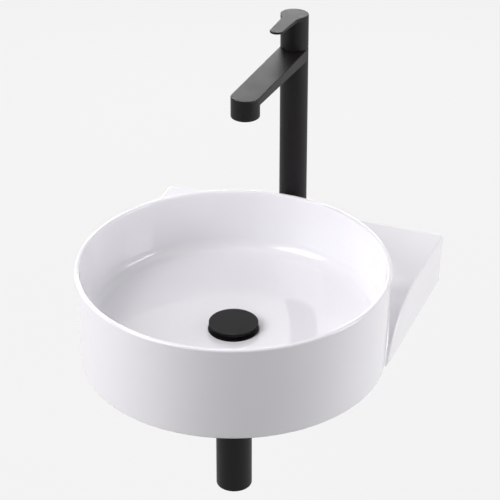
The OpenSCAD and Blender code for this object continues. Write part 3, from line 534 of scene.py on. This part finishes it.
def make_basin():
    """Carves the drum, the bowl, the rolled shelf block and the hollows under them."""
    foot_r = DRUM_R - LIP_T - BOWL_DRAFT
    corner_r = foot_r - CORNER_INSET
    corner_z = FLOOR_Z + (corner_r - FLANGE_R) * math.tan(FLOOR_SLOPE)
    skirt_r = DRUM_R - BASE_INSET - SKIRT_T
    hollow_z = RIM_Z - WALL_DEPTH - BOWL_CORNER_R - FLOOR_T
    above, below = RIM_Z + PAST_END, BASE_Z - PAST_END
    table = ((TABLE_PAST_AXIS, BASE_Z - TABLE_PAST_END),
             (DRUM_R + TABLE_PAST_DRUM, RIM_Z + TABLE_PAST_END))
    outside = OutlineTable(
        [[PAST_AXIS, BASE_Z], [DRUM_R - BASE_INSET, BASE_Z], [DRUM_R, RIM_Z], [PAST_AXIS, RIM_Z]],
        [0, FOOT_EDGE, LIP_EDGE, 0], *table)
    bowl = OutlineTable(
        [[PAST_AXIS, FLOOR_Z], [FLANGE_R, FLOOR_Z], [corner_r, corner_z], [DRUM_R - LIP_T, RIM_Z],
         [DRUM_R - LIP_T + BOWL_FLARE, above], [PAST_AXIS, above]],
        [0, 8, BOWL_CORNER_R, 0, 0, 0], *table)
    under = OutlineTable(
        [[PAST_AXIS, below], [skirt_r, below], [skirt_r + SKIRT_FLARE, hollow_z - HOLLOW_DIP],
         [foot_r - BOWL_CORNER_R, hollow_z], [PAD_R, FLOOR_Z - FLOOR_T], [PAD_R, PAD_Z],
         [PAST_AXIS, PAD_Z]],
        [0, 0, 6, 8, 4, 3, 0], *table)

    def solid(x, y, z):
        radius = np.hypot(x, y - AXIS_Y)
        narrowing = BASE_INSET * (RIM_Z - z) / (RIM_Z - BASE_Z)
        sides = np.abs(x) - DRUM_R + narrowing
        rolled = np.hypot(y + SHELF_FLAT, z - SHELF_Z + ROLL_R) - ROLL_R
        top = np.where(y > -SHELF_FLAT, z - SHELF_Z, rolled)
        block = both(both(top, sides, RIDGE_EDGE), y, BACK_EDGE)
        whole = either(outside(radius, z), both(block, BASE_Z - z, FOOT_EDGE), DRUM_FILLET)
        whole = cut(whole, bowl(radius, z), LIP_EDGE)
        whole = cut(whole, under(radius, z), FOOT_EDGE)
        hollow = both(both(top, sides, INNER_EDGE) + WALL_T, y + WALL_T, INNER_EDGE)
        hollow = cut(hollow, radius - DRUM_R + narrowing, INNER_EDGE)
        whole = cut(whole, hollow, FOOT_EDGE)
        whole = cut(whole, both(radius - RECESS_R, FLOOR_Z - SEAT_DEPTH - z), HOLE_EDGE)
        whole = cut(whole, radius - WASTE_HOLE_R, HOLE_EDGE)
        tap_hole = both(np.hypot(x, y - TAP_Y) - TAP_HOLE_R, UNDER_SHELF_Z / 2 - z)
        whole = cut(whole, tap_hole, HOLE_EDGE)
        bush_holes = both(np.hypot(np.abs(x) - BUSH_X, z) - BUSH_HOLE_R, -2 * WALL_T - y)
        return cut(whole, bush_holes, BUSH_HOLE_EDGE)

    body = carved("basin_body", solid, (-DRUM_R, DRUM_LOW[1], BASE_Z), (DRUM_R, 0, RIM_Z), step=3.2)
    nodes = "bowl_wall", "bowl_floor", "waste_pad", "shelf", "shelf_wings", "back_wall"
    install(body, "basin", *nodes)


# The tap: column, spout and outlet in one casting, and the handle

SPOUT_RISE, SPOUT_UNDER, SPOUT_ROOT = math.radians(4.0), math.radians(5.8), 15.5
TAP_EDGE, TAP_FILLET, COLUMN_EDGE, COLUMN_FOOT_EDGE, OUTLET_EDGE = 0.9, 0.7, 0.5, 0.4, 0.7
OUTLET_COVER, BORE_EDGE, OUTLET_BORE_EDGE = 2.0, 0.4, 0.5
SOCKET_R, POCKET_R, WAY_R, RISER_R, INLET_R = 15.2, 14.2, 3.5, 4.8, 4.5
INLET_X, INLET_AHEAD, INLET_LEN, STUD_BACK, STUD_R = 6.5, 2.0, 12.0, 9.5, 4.0
AERATOR_R, AERATOR_STEP, AERATOR_POCKET, AIR_ROOM = 12.0, 5.0, 13.5, 7.0
WAY_RISE, WAY_DROP, WAY_OVERLAP, WAY_BACK, WAY_HALF_LEN = math.radians(5.4), 10.2, 2.0, 5.0, 85.0


def make_tap():
    """Carves the casting with its bores: cartridge, waterways, aerator, inlets and fixing stud."""

    def solid(x, y, z):
        ahead = TAP_Y - y
        beyond = ahead - COLUMN_R
        plan = np.hypot(x, ahead - np.clip(ahead, 0, SPOUT_REACH)) - COLUMN_R
        top = (z - JOINT_Z - beyond * math.tan(SPOUT_RISE)) * math.cos(SPOUT_RISE)
        low = (JOINT_Z - SPOUT_ROOT + beyond * math.tan(SPOUT_UNDER) - z) * math.cos(SPOUT_UNDER)
        radius = np.hypot(x, ahead)
        column = both(radius - COLUMN_R, z - JOINT_Z, COLUMN_EDGE)
        column = both(column, COLUMN_LOW[2] - z, COLUMN_FOOT_EDGE)
        end = np.hypot(x, ahead - SPOUT_REACH)
        outlet = both(both(end - COLUMN_R, OUTLET_Z - z, OUTLET_EDGE), top + OUTLET_COVER)
        whole = both(both(plan, top, TAP_EDGE), low, TAP_EDGE)
        whole = either(either(whole, outlet, TAP_FILLET), column, TAP_FILLET)
        whole = both(both(whole, plan), np.minimum(z - JOINT_Z, top))
        whole = cut(whole, both(radius - SOCKET_R, SEAT_Z - z), BORE_EDGE)
        whole = cut(whole, both(radius - POCKET_R, POCKET_Z - z))
        start = ahead - POCKET_R + WAY_OVERLAP
        rise = z - JOINT_Z + WAY_DROP
        across = rise * math.cos(WAY_RISE) - start * math.sin(WAY_RISE)
        along = np.abs(start - SPOUT_REACH / 2 + WAY_BACK) - WAY_HALF_LEN
        whole = cut(whole, both(np.hypot(x, across) - WAY_R, along))
        pocket_top = z - OUTLET_Z - AERATOR_POCKET
        whole = cut(whole, both(end - AERATOR_R, pocket_top), OUTLET_BORE_EDGE)
        whole = cut(whole, both(end - AERATOR_R + AERATOR_STEP, pocket_top - AIR_ROOM))
        feed = np.hypot(np.abs(x) - INLET_X, ahead - INLET_AHEAD)
        whole = cut(whole, feed - np.where(z < COLUMN_LOW[2] + INLET_LEN, INLET_R, RISER_R))
        stud = np.hypot(x, ahead + STUD_BACK) - STUD_R
        return cut(whole, both(stud, z - COLUMN_LOW[2] - INLET_LEN))

    low, high = (-COLUMN_R, SPOUT_LOW[1], COLUMN_LOW[2]), (COLUMN_R, COLUMN_HIGH[1], SPOUT_HIGH[2])
    install(carved("tap_casting", solid, low, high, step=1.5), "basin", "tap_column", "spout")


BLADE_RISE, RELIEF, RELIEF_BACK = math.radians(4.5), math.radians(21.0), 0.5
BLADE_TIP_R, BLADE_ROOT_W, BLADE_T, BLADE_ROOT_T = 8.8, 21.5, 3.0, 5.5
HANDLE_EDGE, SKIRT_EDGE, RELIEF_EDGE, WAIST_R, BLADE_FILLET = 0.9, 0.4, 0.3, 7.0, 1.5
CAVITY_R, CAVITY_EDGE, CAVITY_MOUTH_EDGE, ROOF_T = 16.0, 1.0, 0.3, 6.0
HANDLE_TOP_Z = HANDLE_HIGH[2] - BLADE_REACH * math.tan(BLADE_RISE)
HUB_R, HUB_EDGE, HUB_FILLET, HUB_DROP, HUB_COVER = 7.0, 0.3, 0.5, 8.0, 1.0
SOCKET_HALF_X, SOCKET_HALF_Y, SOCKET_RISE, SOCKET_PAST_HUB, SOCKET_EDGE = 3.1, 3.6, 10.0, 1.0, 0.2
HUB_Z, STEM_TOP_Z = PLUG_Z - HUB_DROP, PLUG_Z + SOCKET_RISE
GRUB_R, PLUG_R, PLUG_DEPTH = 2.6, 3.0, 2.0


def make_handle():
    """A round head with a blade, hollow below for the domed nut, with a flat-sided stem socket."""
    root, tip = COLUMN_R / 2, BLADE_REACH - BLADE_TIP_R

    def solid(x, y, z):
        ahead = TAP_Y - y
        radius = np.hypot(x, ahead)
        along = np.clip((ahead - root) / (tip - root), 0, 1)
        half_width = BLADE_ROOT_W / 2 + (BLADE_TIP_R - BLADE_ROOT_W / 2) * along
        blade = np.hypot(x, ahead - root - along * (tip - root)) - half_width
        plan = either(radius - COLUMN_R, blade, WAIST_R)
        top = (z - HANDLE_TOP_Z - ahead * math.tan(BLADE_RISE)) * math.cos(BLADE_RISE)
        arm = both(plan, -top - BLADE_ROOT_T - (BLADE_T - BLADE_ROOT_T) * along, HANDLE_EDGE)
        head = both(radius - COLUMN_R, HANDLE_Z - z, SKIRT_EDGE)
        whole = both(both(either(head, arm, BLADE_FILLET), plan), top, HANDLE_EDGE)
        relief = (-RELIEF_BACK - ahead) * math.sin(RELIEF) - (z - HANDLE_Z) * math.cos(RELIEF)
        whole = both(whole, relief, RELIEF_EDGE)
        cavity = both(radius - CAVITY_R, z - HANDLE_TOP_Z + ROOF_T, CAVITY_EDGE)
        whole = cut(whole, cavity, CAVITY_MOUTH_EDGE)
        hub = both(both(radius - HUB_R, HUB_Z - z, HUB_EDGE), top + HUB_COVER)
        whole = either(whole, hub, HUB_FILLET)
        socket = both(both(np.abs(x) - SOCKET_HALF_X, np.abs(ahead) - SOCKET_HALF_Y), z - STEM_TOP_Z)
        whole = cut(whole, both(both(socket, HUB_Z - SOCKET_PAST_HUB - z), radius - CAVITY_R), SOCKET_EDGE)
        grub = np.hypot(x, z - PLUG_Z)
        whole = cut(whole, both(grub - GRUB_R, ahead))
        return cut(whole, both(grub - PLUG_R, ahead + CAVITY_R - PLUG_DEPTH), SOCKET_EDGE)

    low = (-COLUMN_R, HANDLE_LOW[1], HANDLE_Z)
    high = (COLUMN_R, HANDLE_HIGH[1], HANDLE_HIGH[2])
    install(carved("tap_handle", solid, low, high, step=1.1), "handle", "handle")


# The trap's body, carved because its side socket runs into its pot

TRAP_LOW, TRAP_HIGH = box_mm("trap_body")
TRAP_R = TRAP_HIGH[0]
OUTLET_DROP = 31.0
OUTLET_AXIS_Z = TRAP_HIGH[2] - OUTLET_DROP
PIPE_R, PIPE_FIT_R, TRAP_BORE_R, CHAMBER_HALF_H = 16.0, 16.2, 21.0, 16.5
NECK_R, NECK_H, NECK_T, NECK_LAP, NECK_BORE_H = 20.75, 12.0, 2.5, 1.0, 4.0
TOP_SOCKET_H, SIDE_SOCKET_R, SIDE_STOP, DIP_R = 13.0, 19.0, 28.0, 14.1
POT_EDGE, SOCKET_MOUTH_EDGE, POT_FOOT_EDGE, NECK_EDGE, PIPE_MOUTH_EDGE = 1.2, 0.8, 0.6, 0.5, 0.4
SOCKET_FILLET = 2.0


def make_trap_body():
    """A pot with a socket above, one at the side and a neck below, and the water's way through it."""
    foot_z = TRAP_LOW[2] + NECK_H
    shoulder_z = TRAP_HIGH[2] - TOP_SOCKET_H

    def solid(x, y, z):
        radius = np.hypot(x, y - AXIS_Y)
        pot = both(both(radius - TRAP_R, z - TRAP_HIGH[2], POT_EDGE), foot_z - z, POT_FOOT_EDGE)
        side_r = np.hypot(x, z - OUTLET_AXIS_Z)
        socket = both(side_r - SIDE_SOCKET_R, y - TRAP_HIGH[1], SOCKET_MOUTH_EDGE)
        socket = both(socket, AXIS_Y - y)
        neck = both(both(radius - NECK_R, TRAP_LOW[2] - z, NECK_EDGE), z - foot_z - NECK_LAP)
        whole = either(either(pot, socket, SOCKET_FILLET), neck)
        whole = cut(whole, both(radius - PIPE_FIT_R, shoulder_z - z), PIPE_MOUTH_EDGE)
        whole = cut(whole, radius - DIP_R)
        chamber = both(radius - TRAP_BORE_R, np.abs(z - (foot_z + shoulder_z) / 2) - CHAMBER_HALF_H)
        neck_bore = both(radius - NECK_R + NECK_T, z - foot_z - NECK_BORE_H)
        whole = cut(whole, either(chamber, neck_bore))
        whole = cut(whole, both(side_r - DIP_R, AXIS_Y - y))
        return cut(whole, both(side_r - PIPE_FIT_R, AXIS_Y + SIDE_STOP - y), PIPE_MOUTH_EDGE)

    install(carved("trap_pot", solid, TRAP_LOW, TRAP_HIGH, step=1.6), "basin", "trap_body")


# Turned pieces of the tap, the waste, the trap and the drain

BOWL_AXIS, TAP_AXIS, DRAIN_AXIS = (0, AXIS_Y, 0), (0, TAP_Y, 0), (0, 0, OUTLET_AXIS_Z)
OUTLET_AXIS = (0, TAP_Y - SPOUT_REACH, 0)


def make_base_collar():
    """The ring under the foot of the tap."""
    hole_lap = 2.0
    low, high = box_mm("base_ring")
    r, bore = high[0], TAP_HOLE_R - hole_lap
    outline = [[bore, low[2]], [r, low[2]], [r, high[2]], [bore, high[2]]]
    install(turned("base_collar", outline, [0.4, 0.5, 0.7, 0.4], TAP_AXIS), "basin", "base_ring")


def make_outlet_collar():
    """The ring that holds the aerator in the spout's outlet."""
    lip_w, wall_t, lip_h = 3.0, 1.5, 2.0
    low, high = box_mm("aerator_ring")
    r, bore, step_z = high[0], high[0] - lip_w, low[2] + lip_h
    outline = [[bore, low[2]], [r, low[2]], [r, high[2]], [r - wall_t, high[2]], [r - wall_t, step_z],
               [bore, step_z]]
    ring = turned("outlet_collar", outline, [0.5, 0.5, 0.3, 0.2, 0.1, 0.1], OUTLET_AXIS)
    install(ring, "basin", "aerator_ring")


def make_cap():
    """The waste's cap: slightly domed, with a side that leans in under its rim and a hollow boss."""
    boss_r, bore, boss_h, bore_h = 6.0, 3.0, 3.0, 6.0
    rim_t, taper, rim_drop, dome_share, dome_drop = 1.4, 2.2, 0.3, 0.6, 0.07
    low, high = box_mm("waste_cap")
    r, top_z = high[0], high[2]
    under_z, bore_z = low[2] + boss_h, low[2] + bore_h
    outline = [[bore, low[2]], [boss_r, low[2]], [boss_r, under_z], [r - taper, under_z],
               [r, top_z - rim_t], [r, top_z - rim_drop], [dome_share * r, top_z - dome_drop],
               [0, top_z], [0, bore_z], [bore, bore_z]]
    radii = [0.3, 0.4, 0.8, 0.4, 0.4, 0.4, 60, 0, 0, 0.1]
    cap = turned("cap_disc", outline, radii, BOWL_AXIS, sides=128)
    install(cap, "waste_cap", "waste_cap")


def make_top_nut():
    """The nut that clamps the trap to the tail tube."""
    thread_r, lip_h = 21.0, 3.0
    low, high = box_mm("top_nut")
    r, lip_z = high[0], low[2] + lip_h
    outline = [[PIPE_FIT_R, low[2]], [r, low[2]], [r, high[2]], [thread_r, high[2]], [thread_r, lip_z],
               [PIPE_FIT_R, lip_z]]
    nut = turned("joint_nut", outline, [0.4, 1.4, 1.0, 0.4, 0.2, 0.2], BOWL_AXIS)
    install(nut, "basin", "top_nut")


def make_cup():
    """The trap's cup, which unscrews."""
    wall_t, floor_t, slope_w, slope_top = 2.5, 3.0, 9.0, 12.0
    low, high = box_mm("trap_cup")
    r, bore, bottom = high[0], high[0] - wall_t, low[2]
    outline = [[0, bottom], [r, bottom], [r, high[2]], [bore, high[2]], [bore, bottom + slope_top],
               [bore - slope_w, bottom + floor_t], [0, bottom + floor_t]]
    cup = turned("cup_pot", outline, [0, 2, 0.5, 0.3, 4, 4, 0], BOWL_AXIS)
    install(cup, "trap_cup", "trap_cup")


def make_drain_pipe():
    """The pipe from the trap into the wall, a little thinner beyond the wall's face."""
    wall_t, step_w, step_len = 1.5, 0.2, 1.0
    low, high = box_mm("outlet_pipe")
    bore, spigot_r = PIPE_R - wall_t, PIPE_R - step_w
    outline = [[bore, low[1]], [PIPE_R, low[1]], [PIPE_R, 0], [spigot_r, step_len],
               [spigot_r, high[1]], [bore, high[1]]]
    pipe = turned("drain_pipe", outline, [0.3, 0.3, 2, 2, 0.5, 0.3], DRAIN_AXIS, along_y=True)
    install(pipe, "basin", "outlet_pipe")


def make_pipe_nut():
    """The nut that clamps the drain pipe in the trap's side socket."""
    socket_gap, lip_h = 0.1, 4.0
    low, high = box_mm("outlet_nut")
    r, bore, lip_y = high[0], SIDE_SOCKET_R + socket_gap, high[1] - lip_h
    outline = [[bore, low[1]], [r, low[1]], [r, high[1]], [PIPE_FIT_R, high[1]], [PIPE_FIT_R, lip_y],
               [bore, lip_y]]
    nut = turned("pipe_nut", outline, [0.3, 1.0, 1.6, 0.4, 0.2, 0.2], DRAIN_AXIS, along_y=True)
    install(nut, "basin", "outlet_nut")


def make_wall_plate():
    """The thin dished plate round the drain pipe at the wall."""
    hub_w, sheet, bend_w, bend_y, rim_y = 4.0, 1.2, 2.0, -2.5, -0.8
    low, high = box_mm("wall_rosette")
    r, hub_r, front = high[0], PIPE_FIT_R + hub_w, low[1]
    outline = [[PIPE_FIT_R, front], [hub_r, front], [r - bend_w, bend_y], [r, rim_y], [r, 0],
               [r - sheet, 0], [r - bend_w - sheet, -sheet], [hub_r - sheet, front + sheet],
               [PIPE_FIT_R, front + sheet]]
    radii = [0.3, 3, 3, 0.4, 0.3, 0.2, 1, 3, 0.2]
    plate = turned("wall_plate", outline, radii, DRAIN_AXIS, along_y=True)
    install(plate, "basin", "wall_rosette")


# The spring under the cap's plunger, built at one length; the real spring shortens as the cap goes down

SPRING_TURNS, SPRING_WIRE_R, CAP_TRAVEL = 6, 0.5, 4.0


def make_spring(steps=24, sides=12):
    """A round wire wound upwards in a coil."""
    low, high = box_mm("plunger_spring")
    rings = SPRING_TURNS * steps
    turn = 2 * math.pi * np.arange(rings + 1)[:, None] / steps
    around = 2 * math.pi * np.arange(sides) / sides
    out, up = np.cos(around), np.sin(around)
    along_x, along_y = np.cos(turn), np.sin(turn)
    radius = high[0] - SPRING_WIRE_R + SPRING_WIRE_R * out
    rise = np.linspace(low[2] + SPRING_WIRE_R, high[2] - SPRING_WIRE_R, rings + 1)[:, None]
    points = np.stack([radius * along_x, radius * along_y + AXIS_Y, rise + SPRING_WIRE_R * up], 2)
    normals = np.stack(np.broadcast_arrays(out * along_x, out * along_y, up), 2)
    faces = []
    for ring in range(0, rings * sides, sides):
        for k in range(sides):
            n = (k + 1) % sides
            faces.append((ring + k, ring + sides + k, ring + sides + n, ring + n))
    faces += [tuple(range(sides)), tuple(rings * sides + k for k in reversed(range(sides)))]
    spring = mesh_object("cap_spring", points.reshape(-1, 3), faces, normals.reshape(-1, 3))
    install(spring, "basin", "plunger_spring")
    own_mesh(spring)


make_basin()
make_tap()
make_handle()
make_trap_body()
make_base_collar()
make_outlet_collar()
make_cap()
make_top_nut()
make_cup()
make_drain_pipe()
make_pipe_nut()
make_wall_plate()
make_spring()

# The CAD pieces that stay take the material of their slot

for node, kept in frame["nodes"].items():
    if not kept.hide_render:
        for material_slot in kept.material_slots:
            material_slot.link = "OBJECT"
            material_slot.material = MATERIALS[SLOT_OF[node]]

# Camera: a long lens above and to the right of the front, as in the photograph

PITCH, TURN = math.radians(30.49), math.radians(21.10)
CAMERA_DISTANCE = 2968.9
FOCAL_PIXELS, FRAME_PIXELS = 2360.7, 500.0
RIM_CENTRE_PIXEL = (233.26, 265.24)


def make_camera():
    """Looks past the rim's centre by the small angles that put it on its pixel."""
    data = bpy.data.cameras.new("camera")
    data.sensor_width = 36.0
    data.lens = FOCAL_PIXELS / FRAME_PIXELS * data.sensor_width
    data.clip_start, data.clip_end = 0.1, 40.0
    camera = bpy.data.objects.new("camera", data)
    SCENE.collection.objects.link(camera)
    away = Vector((math.sin(TURN) * math.cos(PITCH), -math.cos(TURN) * math.cos(PITCH), math.sin(PITCH)))
    camera.location = (Vector((0, AXIS_Y, RIM_Z)) + away * CAMERA_DISTANCE) * MM
    camera.rotation_mode = "QUATERNION"
    level = (-away).to_track_quat("-Z", "Y")
    right, up = level @ Vector((1, 0, 0)), level @ Vector((0, 1, 0))
    middle = FRAME_PIXELS / 2
    aside, above = middle - RIM_CENTRE_PIXEL[0], RIM_CENTRE_PIXEL[1] - middle
    aim = (right * aside + up * above) / FOCAL_PIXELS - away
    camera.rotation_quaternion = aim.to_track_quat("-Z", "Y")
    SCENE.camera = camera


# Soft studio light and a plain pale floor: the background's tones, then what lights the object

PALE, PALE_FLOOR = (0.905, 0.905, 0.905, 1.0), (0.99, 0.99, 0.99, 1.0)
LIGHT = (1.0, 0.98, 1.0, 1.0)
SKY = (((-1, 0, 0), 0.9), ((0, 1, 0), 0.45))
LAMP_TARGET = Vector((0, -0.25, 0.05))
# Azimuth from +X towards the wall and height over the target, in degrees; distance, and the size of
# the softbox, in metres; power in watts
LAMPS = {
    "left_key": (230, 42, 2.2, (1.2, 1.2), 23.5),
    "left_fill": (228, 18, 2.2, (1.2, 1.2), 12),
    "right_low": (8, 9, 2.2, (1.0, 1.1), 28),
    "right_high": (0, 52, 2.2, (1.2, 1.2), 3.5),
    "top": (180, 88, 2.2, (1.6, 1.6), 5),
    "back_strip": (111, 12, 2.4, (1.8, 0.4), 23),
    "back_soft": (111, 36, 2.4, (2.2, 1.1), 3.5),
}
FLOOR_LEVEL, FLOOR_REACH, FLOOR_PALE_SHARE = -0.55, 8.0, 0.85
FLOOR_TONES = (0.34, 0.34, 0.34), (0.36, 0.36, 0.36)


def seen_directly(nodes):
    """1 for rays from the camera and for mirrored or refracted ones, else 0."""
    path = nodes.add("ShaderNodeLightPath").outputs
    mirrored = nodes.math("MAXIMUM", path["Is Glossy Ray"], path["Is Transmission Ray"])
    return nodes.math("MAXIMUM", path["Is Camera Ray"], mirrored)


def make_world():
    """Pale where it is seen; as light, a sum of soft lobes, each with its direction and strength."""
    world = bpy.data.worlds.new("studio")
    SCENE.world = world
    world.use_nodes = True
    world.node_tree.nodes.clear()
    nodes = Nodes(world.node_tree)
    direction = nodes.add("ShaderNodeTexCoord").outputs["Generated"]
    strength = 0.0
    for axis, level in SKY:
        lobe = nodes.add("ShaderNodeVectorMath", {0: direction, 1: axis}, operation="DOT_PRODUCT")
        share = nodes.math("MULTIPLY", nodes.math("MAXIMUM", lobe.outputs["Value"]), level)
        strength = nodes.math("ADD", strength, share)
    light = nodes.add("ShaderNodeBackground", {"Color": LIGHT, "Strength": strength}).outputs[0]
    seen = nodes.add("ShaderNodeBackground", {"Color": PALE}).outputs[0]
    mix = nodes.add("ShaderNodeMixShader", {0: seen_directly(nodes), 1: light, 2: seen})
    nodes.add("ShaderNodeOutputWorld", {"Surface": mix.outputs[0]})


def make_lamp(name, azimuth, height, distance, size, power):
    """A softbox that faces the target."""
    data = bpy.data.lights.new(name, "AREA")
    data.shape = "RECTANGLE"
    data.size, data.size_y = size
    data.energy = power
    data.color = LIGHT[:3]
    azimuth, height = math.radians(azimuth), math.radians(height)
    flat = math.cos(height)
    away = Vector((flat * math.cos(azimuth), flat * math.sin(azimuth), math.sin(height)))
    lamp = bpy.data.objects.new(name, data)
    lamp.location = LAMP_TARGET + away * distance
    lamp.rotation_mode = "QUATERNION"
    lamp.rotation_quaternion = (-away).to_track_quat("-Z", "Y")
    SCENE.collection.objects.link(lamp)


def make_floor():
    """A wide pale floor that keeps a soft shadow and is clear from below."""
    signs = (-1, -1), (1, -1), (1, 1), (-1, 1)
    corners = [(x * FLOOR_REACH, y * FLOOR_REACH, FLOOR_LEVEL) for x, y in signs]
    mesh = bpy.data.meshes.new("floor")
    mesh.from_pydata(corners, [], [(0, 1, 2, 3)])
    floor = bpy.data.objects.new("floor", mesh)
    SCENE.collection.objects.link(floor)
    s = Shader("floor")
    s.set(Base_Color=s.blend(s.spread(s.noise(1.5), 0, 1), *FLOOR_TONES))
    s.set(Roughness=0.9, Specular_IOR_Level=0.1)
    pale = s.add("ShaderNodeEmission", {"Color": PALE_FLOOR})
    share = s.math("MULTIPLY", seen_directly(s), FLOOR_PALE_SHARE)
    lit = s.add("ShaderNodeMixShader", {0: share, 1: s.surface.outputs[0], 2: pale.outputs[0]})
    below = s.add("ShaderNodeNewGeometry").outputs["Backfacing"]
    clear = s.add("ShaderNodeBsdfTransparent").outputs[0]
    final = s.add("ShaderNodeMixShader", {0: below, 1: lit.outputs[0], 2: clear})
    s.feed(s.tree.nodes["Material Output"].inputs["Surface"], final.outputs[0])
    mesh.materials.append(s.material)


make_camera()
SCENE.view_settings.view_transform = "Standard"
make_world()
for lamp_name, lamp_values in LAMPS.items():
    make_lamp(lamp_name, *lamp_values)
make_floor()
